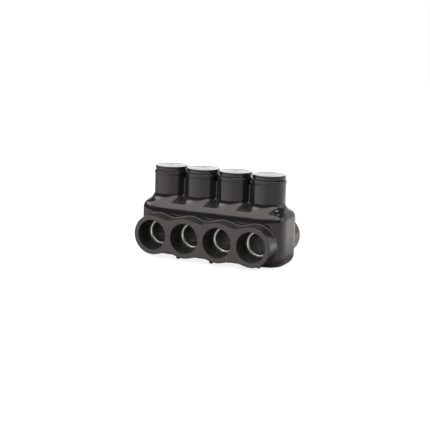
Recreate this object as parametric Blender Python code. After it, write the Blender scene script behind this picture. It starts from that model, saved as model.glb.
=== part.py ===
"""Insulated four-tap cable connector, open on both long sides.

A drilled aluminium block lies in a moulded black plastisol cover. Each of the four bores takes a
cable from the front or the rear, through a collar, and a set screw clamps it from above. The
screw is reached down a chimney, which a push-in plug closes.

Metres, +Z up, X along the row of ports, Y through the bores, origin under the middle on the
surface that the connector stands on.
"""

import math

import bmesh
import bpy

mm = 0.001

# Row of ports
PORT_COUNT = 4
PORT_PITCH = 30.0 * mm
FIT_GAP = 0.3 * mm

# Aluminium block
CABLE_BORE_RADIUS = 9.0 * mm
BORE_CHAMFER_WIDTH = 1.8 * mm
BORE_CHAMFER_DEPTH = 1.5 * mm
BLOCK_END_WALL = 8.0 * mm
BLOCK_DEPTH = 34.5 * mm
BLOCK_FLOOR = 7.3 * mm
BLOCK_ROOF = 15.1 * mm
BLOCK_CORNER_RADIUS = 6.0 * mm
BLOCK_TOP_RADIUS = 6.0 * mm
BLOCK_BOTTOM_RADIUS = 4.5 * mm

# Set screw
SCREW_RADIUS = 8.4 * mm
SCREW_LENGTH = 22.0 * mm
SCREW_POINT_RADIUS = 5.0 * mm
SCREW_POINT_LENGTH = 3.0 * mm
SCREW_DOME = 0.5 * mm
SCREW_EDGE = 0.7 * mm
SOCKET_ACROSS_FLATS = 7.94 * mm
SOCKET_DEPTH = 9.0 * mm
COUNTERSINK = 1.0 * mm

# Moulded cover: the body round the block
COVER_WALL = 3.0 * mm
COVER_ROOF = 3.7 * mm
BODY_CORNER_RADIUS = 9.0 * mm
BODY_TOP_RADIUS = 11.5 * mm
BODY_BOTTOM_RADIUS = 8.0 * mm
FLAT_CORNER_SHARE = 0.4

# Moulded cover: the collars of the ports
MOUTH_RADIUS = 12.9 * mm
THROAT_RADIUS = 12.0 * mm
COLLAR_WALL = 3.7 * mm
COLLAR_LENGTH = 12.75 * mm
COLLAR_EDGE = 0.6 * mm
COLLAR_FILLET = 1.8 * mm
COLLAR_FILLET_FADE = 0.8
COLLAR_FLARE = 64.0
COLLAR_ROOT = 2.0 * mm
VALLEY_RADIUS = 25.0 * mm
LIP_OVERHANG = 0.9 * mm
LIP_THICKNESS = 1.2 * mm
MOUTH_EDGE = 0.4 * mm

# Moulded cover: the chimneys over the screws
ACCESS_CLEARANCE = 2.4 * mm
CHIMNEY_WALL = 3.2 * mm
CHIMNEY_HEIGHT = 23.2 * mm
CHIMNEY_FILLET = 3.8 * mm
CHIMNEY_FOOT_SLOPE = 30.0
CHIMNEY_FOOT_PLUNGE = 1.8 * mm
RIM_FLARE = 0.4 * mm
RIM_FLARE_HEIGHT = 2.8 * mm
RIM_EDGE = 0.6 * mm

# Moulding nubs under the front collars, for each port: (angle from straight down, height, width)
NUBS = (
    (),
    ((-19.0, 2.0 * mm, 4.2 * mm),),
    ((-18.0, 2.0 * mm, 4.2 * mm), (36.0, 1.2 * mm, 3.0 * mm)),
    ((24.0, 1.0 * mm, 3.0 * mm),),
)
NUB_LENGTH = 4.0 * mm
NUB_SETBACK = 0.8 * mm
NUB_SUNK_SHARE = 1.2
NUB_TIP_SHARE = 0.36

# Push-in plug
PLUG_DISC_RADIUS = 13.65 * mm
PLUG_DISC_THICKNESS = 1.3 * mm
PLUG_DISC_EDGE = 0.35 * mm
PLUG_NECK_RADIUS = 12.9 * mm
PLUG_NECK_HEIGHT = 2.3 * mm
PLUG_DISH_RADIUS = 11.6 * mm
PLUG_DISH_DEPTH = 0.35 * mm
PLUG_SKIRT_DEPTH = 9.0 * mm
PLUG_SKIRT_WALL = 1.7 * mm
PLUG_BEAD = 0.35 * mm
PLUG_BEAD_DEPTH = 3.0 * mm
PLUG_LEAD_IN = 0.9 * mm
PLUG_TOP_WALL = 2.0 * mm

# Facets
ROUND_SEGMENTS = 28
CORNER_SEGMENTS = 5
FILLET_STEPS = 3
ARC_STEP = math.radians(14.0)
MERGE_DISTANCE = 0.001 * mm
OVERRUN = 5.0 * mm

# Worked out from the sizes above
PORT_X = [(index - (PORT_COUNT - 1) / 2) * PORT_PITCH for index in range(PORT_COUNT)]
BLOCK_HALF_LENGTH = PORT_X[-1] + CABLE_BORE_RADIUS + BLOCK_END_WALL
BLOCK_HALF_DEPTH = BLOCK_DEPTH / 2
BLOCK_BOTTOM = COVER_WALL + FIT_GAP
BORE_AXIS = BLOCK_BOTTOM + BLOCK_FLOOR + CABLE_BORE_RADIUS
BLOCK_TOP = BORE_AXIS + CABLE_BORE_RADIUS + BLOCK_ROOF
TAPPED_RADIUS = SCREW_RADIUS + FIT_GAP
SCREW_TIP = BORE_AXIS + CABLE_BORE_RADIUS + FIT_GAP
BODY_HALF_LENGTH = BLOCK_HALF_LENGTH + FIT_GAP + COVER_WALL
BODY_HALF_DEPTH = BLOCK_HALF_DEPTH + FIT_GAP + COVER_WALL
BODY_TOP = BLOCK_TOP + FIT_GAP + COVER_ROOF
COLLAR_RADIUS = MOUTH_RADIUS + COLLAR_WALL
FACE_Y = BODY_HALF_DEPTH + COLLAR_LENGTH
LIP_Y = BLOCK_HALF_DEPTH + FIT_GAP + LIP_THICKNESS
ACCESS_RADIUS = SCREW_RADIUS + ACCESS_CLEARANCE
CHIMNEY_RADIUS = ACCESS_RADIUS + CHIMNEY_WALL
RIM_TOP = BODY_TOP + CHIMNEY_HEIGHT
PLUG_SKIRT_RADIUS = ACCESS_RADIUS - FIT_GAP


def clear_scene():
    """Remove every object that the file opens with."""
    for old in list(bpy.data.objects):
        bpy.data.objects.remove(old)


def finish(name, colour, roughness, metallic=0.0):
    """A Principled material of one colour."""
    made = bpy.data.materials.new(name)
    made.use_nodes = True
    shader = made.node_tree.nodes["Principled BSDF"]
    shader.inputs["Base Color"].default_value = (*colour, 1.0)
    shader.inputs["Roughness"].default_value = roughness
    shader.inputs["Metallic"].default_value = metallic
    return made


def solid(name, bm, material=None, sharp_angle=40.0):
    """Turn a closed bmesh into a named object with smooth round faces."""
    bmesh.ops.recalc_face_normals(bm, faces=bm.faces)
    mesh = bpy.data.meshes.new(name)
    bm.to_mesh(mesh)
    bm.free()
    mesh.shade_smooth()
    mesh.set_sharp_from_angle(angle=math.radians(sharp_angle))
    if material:
        mesh.materials.append(material)
    made = bpy.data.objects.new(name, mesh)
    bpy.context.scene.collection.objects.link(made)
    return made


def loft(loops):
    """Skin equal closed loops of points, one after another, close both ends and merge what meets."""
    bm = bmesh.new()
    rings = [[bm.verts.new(point) for point in loop] for loop in loops]
    count = len(rings[0])
    for near, far in zip(rings, rings[1:]):
        for i in range(count):
            j = (i + 1) % count
            bm.faces.new((near[i], near[j], far[j], far[i]))
    bm.faces.new(rings[0][::-1])
    bm.faces.new(rings[-1])
    bmesh.ops.remove_doubles(bm, verts=bm.verts, dist=MERGE_DISTANCE)
    return bm


def turned(profile, centre=(0.0, 0.0, 0.0), along_y=False, bm=None):
    """Spin a profile of (radius, distance along the axis) pairs, whose ends lie on the axis."""
    bm = bm or bmesh.new()
    x, y, z = centre
    if along_y:
        points = [(x + radius, y + along, z) for radius, along in profile]
    else:
        points = [(x + radius, y, z + along) for radius, along in profile]
    verts = [bm.verts.new(point) for point in points]
    edges = [bm.edges.new(pair) for pair in zip(verts, verts[1:])]
    bmesh.ops.spin(
        bm,
        geom=verts + edges,
        cent=centre,
        axis=(0, 1, 0) if along_y else (0, 0, 1),
        angle=2 * math.pi,
        steps=ROUND_SEGMENTS,
        use_merge=True,
    )
    bmesh.ops.remove_doubles(bm, verts=bm.verts, dist=MERGE_DISTANCE)
    return bm


def rounded_rectangle(half_x, half_y, radius, z):
    """Corner arcs of a rectangle in plan, anticlockwise, at height z."""
    points = []
    for quarter, (sx, sy) in enumerate(((1, 1), (-1, 1), (-1, -1), (1, -1))):
        for step in range(CORNER_SEGMENTS + 1):
            angle = (quarter + step / CORNER_SEGMENTS) * math.pi / 2
            x = sx * (half_x - radius) + radius * math.cos(angle)
            y = sy * (half_y - radius) + radius * math.sin(angle)
            points.append((x, y, z))
    return points


def rounded_block(half_x, half_y, bottom, top, corner, bottom_radius, top_radius):
    """A block with round upright corners, lofted through plan sections that step in at its ends.

    The corners' radius shrinks with each step, to FLAT_CORNER_SHARE of itself on the flat ends."""
    quarter = [step / CORNER_SEGMENTS * math.pi / 2 for step in range(CORNER_SEGMENTS + 1)]
    sections = []
    for turn in quarter:
        z = bottom + bottom_radius * (1 - math.cos(turn))
        sections.append((z, bottom_radius * (1 - math.sin(turn)), bottom_radius))
    for turn in quarter:
        z = top - top_radius * (1 - math.sin(turn))
        sections.append((z, top_radius * (1 - math.cos(turn)), top_radius))
    loops = []
    for z, inset, edge_radius in sections:
        radius = corner * (1 - (1 - FLAT_CORNER_SHARE) * inset / edge_radius)
        loops.append(rounded_rectangle(half_x - inset, half_y - inset, radius, z))
    return loft(loops)


def cut(target, tool, operation="DIFFERENCE"):
    """Add a Boolean of target with tool, which is kept as a hidden guide."""
    tool.hide_render = True
    tool.display_type = "WIRE"
    step = target.modifiers.new(tool.name, "BOOLEAN")
    step.operation = operation
    step.object = tool


def arc(centre_x, centre_z, radius, start, end, outward=1.0):
    """Points from start (left out) to end, each as (x, z, normal x, normal z)."""
    steps = max(2, round(abs(end - start) / ARC_STEP))
    points = []
    for step in range(1, steps + 1):
        angle = start + (end - start) * step / steps
        nx, nz = math.cos(angle), math.sin(angle)
        points.append((centre_x + radius * nx, centre_z + radius * nz, outward * nx, outward * nz))
    return points


def chain_outline():
    """Outline of a row of collars: circles at the port pitch, with a hollow arc in each valley."""
    half = PORT_PITCH / 2
    rise = math.sqrt((COLLAR_RADIUS + VALLEY_RADIUS) ** 2 - half**2)
    tangent = math.atan2(rise, half)
    points = arc(PORT_X[-1], BORE_AXIS, COLLAR_RADIUS, tangent - math.pi, math.pi - tangent)
    for x in reversed(PORT_X[:-1]):
        points += arc(x + half, BORE_AXIS + rise, VALLEY_RADIUS, -tangent, tangent - math.pi, -1.0)
        last = 2 * math.pi - tangent if x == PORT_X[0] else math.pi - tangent
        points += arc(x, BORE_AXIS, COLLAR_RADIUS, tangent, last)
    for x in PORT_X[1:]:
        points += arc(x - half, BORE_AXIS - rise, VALLEY_RADIUS, math.pi - tangent, tangent, -1.0)
        if x != PORT_X[-1]:
            points += arc(x, BORE_AXIS, COLLAR_RADIUS, math.pi + tangent, 2 * math.pi - tangent)
    return points


def fillet_weight(normal_z):
    """1 on top of the collars, where the body stands behind them, falling to 0 underneath."""
    share = min(1.0, max(0.0, (normal_z / COLLAR_FILLET_FADE + 1) / 2))
    return share * share * (3 - 2 * share)


def fall(over, radius):
    """How far a round edge has fallen away, over being the distance past where it begins."""
    over = min(max(over, 0.0), radius)
    return radius - math.sqrt(radius**2 - over**2)


def front_depth(x, z):
    """Half depth of the body at x along it and height z, round its corners and edges."""
    corner = fall(abs(x) - (BODY_HALF_LENGTH - BODY_CORNER_RADIUS), BODY_CORNER_RADIUS)
    top = fall(z - (BODY_TOP - BODY_TOP_RADIUS), BODY_TOP_RADIUS)
    bottom = fall(BODY_BOTTOM_RADIUS - z, BODY_BOTTOM_RADIUS)
    return BODY_HALF_DEPTH - corner - top - bottom


def shoulder_height(x, y):
    """Height of the body's top over a point in plan, down its rounded edge."""
    over_x = max(0.0, abs(x) - (BODY_HALF_LENGTH - BODY_TOP_RADIUS))
    over_y = max(0.0, abs(y) - (BODY_HALF_DEPTH - BODY_TOP_RADIUS))
    return BODY_TOP - fall(math.hypot(over_x, over_y), BODY_TOP_RADIUS)


def collar_row():
    """Loft the chain outline from the face of the mouths back into the body, with a fillet there."""
    outline = chain_outline()
    loops = []
    for degrees in (90.0, 45.0, 0.0):
        turn = math.radians(degrees)
        inset = COLLAR_EDGE * (1 - math.cos(turn))
        setback = COLLAR_EDGE * (1 - math.sin(turn))
        loops.append([(x - inset * nx, setback - FACE_Y, z - inset * nz) for x, z, nx, nz in outline])
    last_turn = math.radians(COLLAR_FLARE)
    flare = []
    for step in range(FILLET_STEPS + 1):
        turn = last_turn * step / FILLET_STEPS
        flare.append((COLLAR_FILLET * (1 - math.cos(turn)), COLLAR_FILLET * (1 - math.sin(turn))))
    flare.append((flare[-1][0], -COLLAR_ROOT))
    for spread, stand_off in flare:
        loop = []
        for x, z, nx, nz in outline:
            out = spread * fillet_weight(nz)
            x += out * nx
            z += out * nz
            loop.append((x, -front_depth(x, z) - stand_off, z))
        loops.append(loop)
    return loft(loops)


def chimney(x):
    """A round chimney whose foot spreads on the shoulder, as high or low as the shoulder is there."""
    slope = math.radians(CHIMNEY_FOOT_SLOPE)
    last_turn = math.pi / 2 - slope
    foot = []
    for step in range(FILLET_STEPS, -1, -1):
        turn = last_turn * step / FILLET_STEPS
        spread = CHIMNEY_FILLET * (1 - math.cos(turn))
        foot.append((CHIMNEY_RADIUS + spread, CHIMNEY_FILLET * (1 - math.sin(turn))))
    edge_radius = foot[0][0] + CHIMNEY_FOOT_PLUNGE * math.cos(slope)
    edge_rise = foot[0][1] - CHIMNEY_FOOT_PLUNGE * math.sin(slope)
    foot.insert(0, (edge_radius, edge_rise))
    directions = [2 * math.pi * i / ROUND_SEGMENTS for i in range(ROUND_SEGMENTS)]
    loops = []
    for radius, rise in [(CHIMNEY_RADIUS, -COVER_ROOF)] + foot:
        loop = []
        for a in directions:
            px, py = x + radius * math.cos(a), radius * math.sin(a)
            loop.append((px, py, shoulder_height(px, py) + rise))
        loops.append(loop)
    rim_radius = CHIMNEY_RADIUS + RIM_FLARE
    upper = (
        (CHIMNEY_RADIUS, RIM_TOP - RIM_FLARE_HEIGHT),
        (rim_radius, RIM_TOP - RIM_EDGE),
        (rim_radius - RIM_EDGE, RIM_TOP),
    )
    for radius, z in upper:
        loops.append([(x + radius * math.cos(a), radius * math.sin(a), z) for a in directions])
    return loft(loops)


def port_cutter():
    """What the ports take out of the cover: mouth, tapering throat and the lip over the block."""
    bm = bmesh.new()
    front = [
        (0.0, FACE_Y + OVERRUN),
        (MOUTH_RADIUS + MOUTH_EDGE, FACE_Y + OVERRUN),
        (MOUTH_RADIUS + MOUTH_EDGE, FACE_Y),
        (MOUTH_RADIUS, FACE_Y - MOUTH_EDGE),
        (THROAT_RADIUS, LIP_Y),
        (THROAT_RADIUS - LIP_OVERHANG, LIP_Y),
    ]
    profile = front + [(radius, -along) for radius, along in reversed(front)]
    for x in PORT_X:
        turned(profile, (x, 0.0, BORE_AXIS), along_y=True, bm=bm)
    return bm


def access_cutter():
    """What the chimneys' shafts take out of the cover, from the block's roof to the rim."""
    bm = bmesh.new()
    profile = [
        (0.0, BLOCK_TOP - FIT_GAP),
        (ACCESS_RADIUS, BLOCK_TOP - FIT_GAP),
        (ACCESS_RADIUS, RIM_TOP - RIM_EDGE),
        (ACCESS_RADIUS + RIM_EDGE, RIM_TOP),
        (ACCESS_RADIUS + RIM_EDGE, RIM_TOP + OVERRUN),
        (0.0, RIM_TOP + OVERRUN),
    ]
    for x in PORT_X:
        turned(profile, (x, 0.0, 0.0), bm=bm)
    return bm


def nub(axis_x, degrees, height, width):
    """A small tapered lug under a front collar, pointing away from the port's axis."""
    turn = math.radians(degrees)
    down = (math.sin(turn), -math.cos(turn))
    side = (math.cos(turn), math.sin(turn))
    root, tip = width / 2, width * NUB_TIP_SHARE / 2
    sunk = -NUB_SUNK_SHARE * height
    corners = ((-root, sunk), (root, sunk), (root, 0.0), (tip, height), (-tip, height), (-root, 0.0))
    loops = []
    for y in (-FACE_Y + NUB_SETBACK, -FACE_Y + NUB_SETBACK + NUB_LENGTH):
        loop = []
        for across, out in corners:
            far = COLLAR_RADIUS + out
            loop.append((
                axis_x + far * down[0] + across * side[0],
                y,
                BORE_AXIS + far * down[1] + across * side[1],
            ))
        loops.append(loop)
    return loft(loops)


def make_cover(plastisol):
    """The moulded cover: body, two rows of collars and chimneys, less the block and the ways in."""
    cover = solid(
        "insulating_cover",
        rounded_block(
            BODY_HALF_LENGTH,
            BODY_HALF_DEPTH,
            0.0,
            BODY_TOP,
            BODY_CORNER_RADIUS,
            BODY_BOTTOM_RADIUS,
            BODY_TOP_RADIUS,
        ),
        plastisol,
    )
    front = solid("guide_front_collars", collar_row())
    rear = solid("guide_rear_collars", collar_row())
    rear.rotation_euler.z = math.pi
    cut(cover, front, "UNION")
    cut(cover, rear, "UNION")
    for index, x in enumerate(PORT_X, 1):
        cut(cover, solid(f"guide_chimney_{index}", chimney(x)), "UNION")
    for index, (x, nubs) in enumerate(zip(PORT_X, NUBS), 1):
        for degrees, height, width in nubs:
            cut(cover, solid(f"guide_nub_{index}", nub(x, degrees, height, width)), "UNION")
    pocket = rounded_block(
        BLOCK_HALF_LENGTH + FIT_GAP,
        BLOCK_HALF_DEPTH + FIT_GAP,
        BLOCK_BOTTOM - FIT_GAP,
        BLOCK_TOP + FIT_GAP,
        BLOCK_CORNER_RADIUS + FIT_GAP,
        BLOCK_BOTTOM_RADIUS + FIT_GAP,
        BLOCK_TOP_RADIUS + FIT_GAP,
    )
    cut(cover, solid("guide_block_pocket", pocket))
    cut(cover, solid("guide_ports", port_cutter()))
    cut(cover, solid("guide_shafts", access_cutter()))
    return cover


def make_block(aluminium):
    """The drilled and tapped block that joins the cables."""
    block = solid(
        "connector_block",
        rounded_block(
            BLOCK_HALF_LENGTH,
            BLOCK_HALF_DEPTH,
            BLOCK_BOTTOM,
            BLOCK_TOP,
            BLOCK_CORNER_RADIUS,
            BLOCK_BOTTOM_RADIUS,
            BLOCK_TOP_RADIUS,
        ),
        aluminium,
    )
    bores = bmesh.new()
    tapped = bmesh.new()
    front = [
        (0.0, BLOCK_HALF_DEPTH + OVERRUN),
        (CABLE_BORE_RADIUS + BORE_CHAMFER_WIDTH, BLOCK_HALF_DEPTH + OVERRUN),
        (CABLE_BORE_RADIUS + BORE_CHAMFER_WIDTH, BLOCK_HALF_DEPTH),
        (CABLE_BORE_RADIUS, BLOCK_HALF_DEPTH - BORE_CHAMFER_DEPTH),
    ]
    bore_profile = front + [(radius, -along) for radius, along in reversed(front)]
    tapped_profile = [
        (0.0, BORE_AXIS),
        (TAPPED_RADIUS, BORE_AXIS),
        (TAPPED_RADIUS, BLOCK_TOP - COUNTERSINK),
        (TAPPED_RADIUS + COUNTERSINK, BLOCK_TOP),
        (TAPPED_RADIUS + COUNTERSINK, BLOCK_TOP + OVERRUN),
        (0.0, BLOCK_TOP + OVERRUN),
    ]
    for x in PORT_X:
        turned(bore_profile, (x, 0.0, BORE_AXIS), along_y=True, bm=bores)
        turned(tapped_profile, (x, 0.0, 0.0), bm=tapped)
    cut(block, solid("guide_cable_bores", bores))
    cut(block, solid("guide_tapped_holes", tapped))
    return block


def make_screws(aluminium):
    """Four set screws, each with its origin on the joint's axis at its own point."""
    outside = turned([
        (0.0, 0.0),
        (SCREW_POINT_RADIUS, SCREW_DOME),
        (SCREW_RADIUS, SCREW_POINT_LENGTH),
        (SCREW_RADIUS, SCREW_LENGTH - SCREW_EDGE),
        (SCREW_RADIUS - SCREW_EDGE, SCREW_LENGTH),
        (0.0, SCREW_LENGTH),
    ])
    corner_radius = SOCKET_ACROSS_FLATS / math.sqrt(3)
    hexagon = [
        (corner_radius * math.cos(math.pi * k / 3), corner_radius * math.sin(math.pi * k / 3))
        for k in range(6)
    ]
    heights = (SCREW_LENGTH - SOCKET_DEPTH, SCREW_LENGTH + OVERRUN)
    socket = solid("guide_hex_socket", loft([[(x, y, z) for x, y in hexagon] for z in heights]))
    first = solid("set_screw_1", outside, aluminium)
    screws = [first]
    for index in range(2, PORT_COUNT + 1):
        copy = bpy.data.objects.new(f"set_screw_{index}", first.data)
        bpy.context.scene.collection.objects.link(copy)
        screws.append(copy)
    for index, (screw, x) in enumerate(zip(screws, PORT_X), 1):
        screw.location = (x, 0.0, SCREW_TIP)
        key = socket if index == 1 else bpy.data.objects.new(f"guide_hex_socket_{index}", socket.data)
        if index > 1:
            bpy.context.scene.collection.objects.link(key)
        key.location = screw.location
        cut(screw, key)
    return screws


def make_plugs(plastic):
    """Four push-in plugs, each with its origin on its axis at the level of the chimney's rim."""
    top = FIT_GAP + PLUG_NECK_HEIGHT + PLUG_DISC_THICKNESS
    disc_bottom = top - PLUG_DISC_THICKNESS
    skirt = PLUG_SKIRT_RADIUS - PLUG_BEAD
    inner = skirt - PLUG_SKIRT_WALL
    foot = -PLUG_SKIRT_DEPTH
    profile = [
        (0.0, top - PLUG_DISH_DEPTH),
        (PLUG_DISH_RADIUS, top - PLUG_DISH_DEPTH),
        (PLUG_DISH_RADIUS + PLUG_DISH_DEPTH, top),
        (PLUG_DISC_RADIUS - PLUG_DISC_EDGE, top),
        (PLUG_DISC_RADIUS, top - PLUG_DISC_EDGE),
        (PLUG_DISC_RADIUS, disc_bottom),
        (PLUG_NECK_RADIUS, disc_bottom),
        (PLUG_NECK_RADIUS, FIT_GAP),
        (skirt, FIT_GAP),
        (skirt, -PLUG_BEAD_DEPTH + PLUG_BEAD),
        (PLUG_SKIRT_RADIUS, -PLUG_BEAD_DEPTH),
        (skirt, -PLUG_BEAD_DEPTH - PLUG_BEAD),
        (skirt, foot + PLUG_LEAD_IN),
        (skirt - PLUG_LEAD_IN / 2, foot),
        (inner, foot),
        (inner, top - PLUG_TOP_WALL),
        (0.0, top - PLUG_TOP_WALL),
    ]
    first = solid("access_plug_1", turned(profile), plastic)
    plugs = [first]
    for index in range(2, PORT_COUNT + 1):
        copy = bpy.data.objects.new(f"access_plug_{index}", first.data)
        bpy.context.scene.collection.objects.link(copy)
        plugs.append(copy)
    for plug, x in zip(plugs, PORT_X):
        plug.location = (x, 0.0, RIM_TOP)
    return plugs


def main():
    clear_scene()
    plastisol = finish("plastisol", (0.018, 0.018, 0.02), 0.22)
    plastic = finish("plug_plastic", (0.022, 0.022, 0.025), 0.3)
    aluminium = finish("aluminium", (0.72, 0.73, 0.74), 0.35, 1.0)
    make_cover(plastisol)
    make_block(aluminium)
    make_screws(aluminium)
    make_plugs(plastic)


main()
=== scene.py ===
"""Finishes an insulated four-port cable connector: its moulded cover, drilled block, screws and plugs."""

import math

import bmesh
import bpy
import numpy as np
from bpy.props import FloatProperty, FloatVectorProperty, IntProperty, PointerProperty
from bpy.types import Operator, Panel, PropertyGroup
from mathutils import Matrix, Vector


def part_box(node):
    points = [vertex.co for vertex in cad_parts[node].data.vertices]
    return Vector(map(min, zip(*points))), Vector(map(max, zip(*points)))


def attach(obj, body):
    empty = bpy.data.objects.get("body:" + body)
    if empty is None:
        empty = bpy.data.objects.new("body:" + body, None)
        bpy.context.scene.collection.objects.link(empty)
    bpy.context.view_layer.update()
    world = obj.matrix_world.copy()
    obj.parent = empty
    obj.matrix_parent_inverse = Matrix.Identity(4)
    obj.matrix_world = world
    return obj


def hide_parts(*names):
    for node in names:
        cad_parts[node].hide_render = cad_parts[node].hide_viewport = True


bl_info = {
    "name": "Insulated Cable Connector",
    "version": (1, 0, 0),
    "blender": (4, 5, 0),
    "location": "View3D > Sidebar > Connector",
    "description": "Builds the finished surfaces of an insulated multi-port cable connector",
    "category": "Add Mesh",
}

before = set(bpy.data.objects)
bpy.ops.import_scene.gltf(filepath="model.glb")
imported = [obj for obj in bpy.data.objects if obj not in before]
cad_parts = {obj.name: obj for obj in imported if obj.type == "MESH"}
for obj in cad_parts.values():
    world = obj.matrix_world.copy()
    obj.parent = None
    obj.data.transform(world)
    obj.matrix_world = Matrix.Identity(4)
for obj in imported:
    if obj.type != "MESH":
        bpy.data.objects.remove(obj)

mm = 0.001

# Points nearer to each other than this are one
WELD = 0.0005 * mm

# How far cutting tools reach past the surface that they open
PAST = 4.0 * mm

# Facets round a port, a shaft or a bore, and round a tapped hole
CUT_SIDES = 96
TAP_SIDES = 72

# Steps of a quarter circle on the block's edges
ARC_STEPS = 6

WHITE = (1.0, 1.0, 1.0)
WARM_WHITE = (1.0, 0.95, 0.91)
DUST = (0.3, 0.29, 0.27)

# Places read from the frame
PORTS = range(1, 5)
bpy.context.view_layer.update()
COVER_LOW, COVER_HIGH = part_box("insulating_cover")
BLOCK_LOW, BLOCK_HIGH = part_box("connector_block")
SCREW_BOXES = [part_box(f"set_screw_{number}") for number in PORTS]
PLUG_BOXES = [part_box(f"access_plug_{number}") for number in PORTS]
PORT_X = np.array([(low[0] + high[0]) / 2 for low, high in SCREW_BOXES])
FACE_Y = COVER_HIGH[1]
RIM_Z = COVER_HIGH[2]


def length(name, description, millimetres):
    """A size property, its default given in millimetres."""
    return FloatProperty(
        name=name, description=description, default=millimetres * mm, subtype="DISTANCE", unit="LENGTH",
        precision=5,
    )


def angle(name, description, degrees):
    """An angle property, its default given in degrees."""
    return FloatProperty(
        name=name, description=description, default=math.radians(degrees), subtype="ANGLE", unit="ROTATION"
    )


def colour(name, description, default):
    """A colour property."""
    return FloatVectorProperty(
        name=name, description=description, default=default, subtype="COLOR", size=3, min=0.0, max=1.0
    )


class CoverSizes(PropertyGroup):
    """Sizes of the moulded cover."""

    bore_height: length("Bore height", "Height of the ports' axes above the ground", 19.6)
    wall: length("Wall", "From the block to the outside at the sides", 3.3)
    roof: length("Roof", "From the block to the outside on top", 4.0)
    corner_radius: length("Corner radius", "Upright corners of the body", 11.5)
    top_radius: length("Shoulder radius", "Rolled edge on top of the body", 11.5)
    end_radius: length("End shoulder radius", "Rolled edge over the two ends", 8.5)
    bottom_radius: length("Bottom radius", "Rolled edge under the body", 8.0)
    collar_radius: length("Collar radius", "Outside of a port's collar", 16.6)
    collar_valley: length("Collar valley", "How far the valleys between collars lie in", 2.8)
    collar_fillet: length("Collar fillet", "Flare from the collars into the body", 1.1)
    collar_edge: length("Collar edge", "Rounding round the collars' faces", 0.7)
    mouth_radius: length("Mouth radius", "Port at its face", 12.5)
    throat_radius: length("Throat radius", "Port at its lip", 11.8)
    lip_radius: length("Lip radius", "Hole in the lip over the block", 11.1)
    lip_thickness: length("Lip thickness", "Lip over the block", 1.5)
    mouth_edge: length("Mouth edge", "Rounding of a port's mouth", 0.5)
    chimney_radius: length("Chimney radius", "Outside of a chimney", 14.1)
    chimney_fillet: length("Chimney fillet", "Flare from a chimney into the shoulder", 4.2)
    web: length("Web", "How much wider the fill between chimneys is at their feet", 4.5)
    shaft_radius: length("Shaft radius", "Inside of a chimney", 10.8)
    rim_flare: length("Rim flare", "How far the rim stands out", 0.32)
    rim_edge: length("Rim edge", "Rounding of a chimney's rim", 0.8)
    net_step: length("Net step", "Spacing of the cover's mesh", 0.8)


class BlockSizes(PropertyGroup):
    """Sizes of the drilled aluminium block."""

    bore_radius: length("Bore radius", "Hole for a cable", 9.0)
    chamfer_width: length("Chamfer width", "Chamfer round a bore's mouth", 1.45)
    chamfer_depth: length("Chamfer depth", "Depth of that chamfer", 0.72)
    thread_crest: length("Thread crest", "Smallest radius of a tapped hole", 8.7)
    thread_depth: length("Thread depth", "Depth of the threads", 0.75)
    thread_pitch: length("Thread pitch", "Distance from one thread to the next", 1.5875)
    corner_radius: length("Corner radius", "Upright corners of the block", 6.0)
    top_radius: length("Top radius", "Top edges of the block", 6.0)
    bottom_radius: length("Bottom radius", "Bottom edges of the block", 4.5)


class ScrewSizes(PropertyGroup):
    """Sizes of the set screws."""

    point_radius: length("Point radius", "Where the cone of the point begins", 5.0)
    point_length: length("Point length", "Length of the cone", 2.5)
    socket_flats: length("Across flats", "Width of the hex socket", 7.94)
    socket_depth: length("Socket depth", "Depth of the hex socket", 9.0)
    sides: IntProperty(
        name="Sides", description="Facets round a screw, a multiple of six", default=96, min=24
    )


class PlugSizes(PropertyGroup):
    """Sizes of the push-in plugs."""

    neck_radius: length("Neck radius", "Neck under the top disc", 13.55)
    disc_thickness: length("Disc thickness", "Top disc", 1.3)
    neck_height: length("Neck height", "Neck between the disc and the rim", 2.3)
    skirt_wall: length("Skirt wall", "Wall of the skirt", 1.7)
    skirt_radius: length("Skirt radius", "Crest of the skirt's bead", 10.5)
    bead: length("Bead", "Height of the skirt's bead", 0.35)
    top_wall: length("Top wall", "Thickness of the top over the cup", 2.0)
    sides: IntProperty(name="Sides", description="Facets round a plug", default=128, min=24)


class Finishes(PropertyGroup):
    """Colours of the materials."""

    skin: colour("Skin", "Black plastisol", (0.009, 0.0078, 0.008))
    face: colour("Collar face", "Dull faces of the collars", (0.056, 0.052, 0.05))
    plug: colour("Plug", "Black plug plastic", (0.012, 0.012, 0.0135))
    metal: colour("Metal", "Machined aluminium", (0.8, 0.8, 0.79))
    compound: colour("Compound", "Joint compound in the bores", (0.055, 0.049, 0.013))


class StageSettings(PropertyGroup):
    """Place and lens of the camera."""

    azimuth: angle("Azimuth", "Camera round the object", 25.59)
    elevation: angle("Elevation", "Camera above the ground", 10.65)
    roll: angle("Roll", "Camera round its own axis", 1.74)
    distance: length("Distance", "Camera to its target", 840.0)
    target_x: length("Target X", "Target along the row", -2.95)
    target_z: length("Target Z", "Target above the ground", 35.8)
    lens: FloatProperty(name="Lens", description="Focal length in millimetres", default=83.6)


# Mesh making

def smooth_max(a, b, width):
    """The larger of a and b, rounded off where they differ by less than width."""
    gap = np.maximum(width - np.abs(a - b), 0.0)
    return np.maximum(a, b) + gap * gap / (4.0 * width)


def smooth_min(a, b, width):
    """The smaller of a and b, filled in where they differ by less than width."""
    return -smooth_max(-a, -b, width)


def smooth_step(value, low, high):
    """0 below low, 1 above high, and 3 s^2 - 2 s^3 of the share s between them."""
    share = np.clip((value - low) / (high - low), 0.0, 1.0)
    return share * share * (3.0 - 2.0 * share)


def blend_width(radius):
    """Width at which a smooth maximum cuts a square corner as deep as an arc of this radius."""
    return 4.0 * (1.0 - math.sqrt(0.5)) * radius


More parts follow.
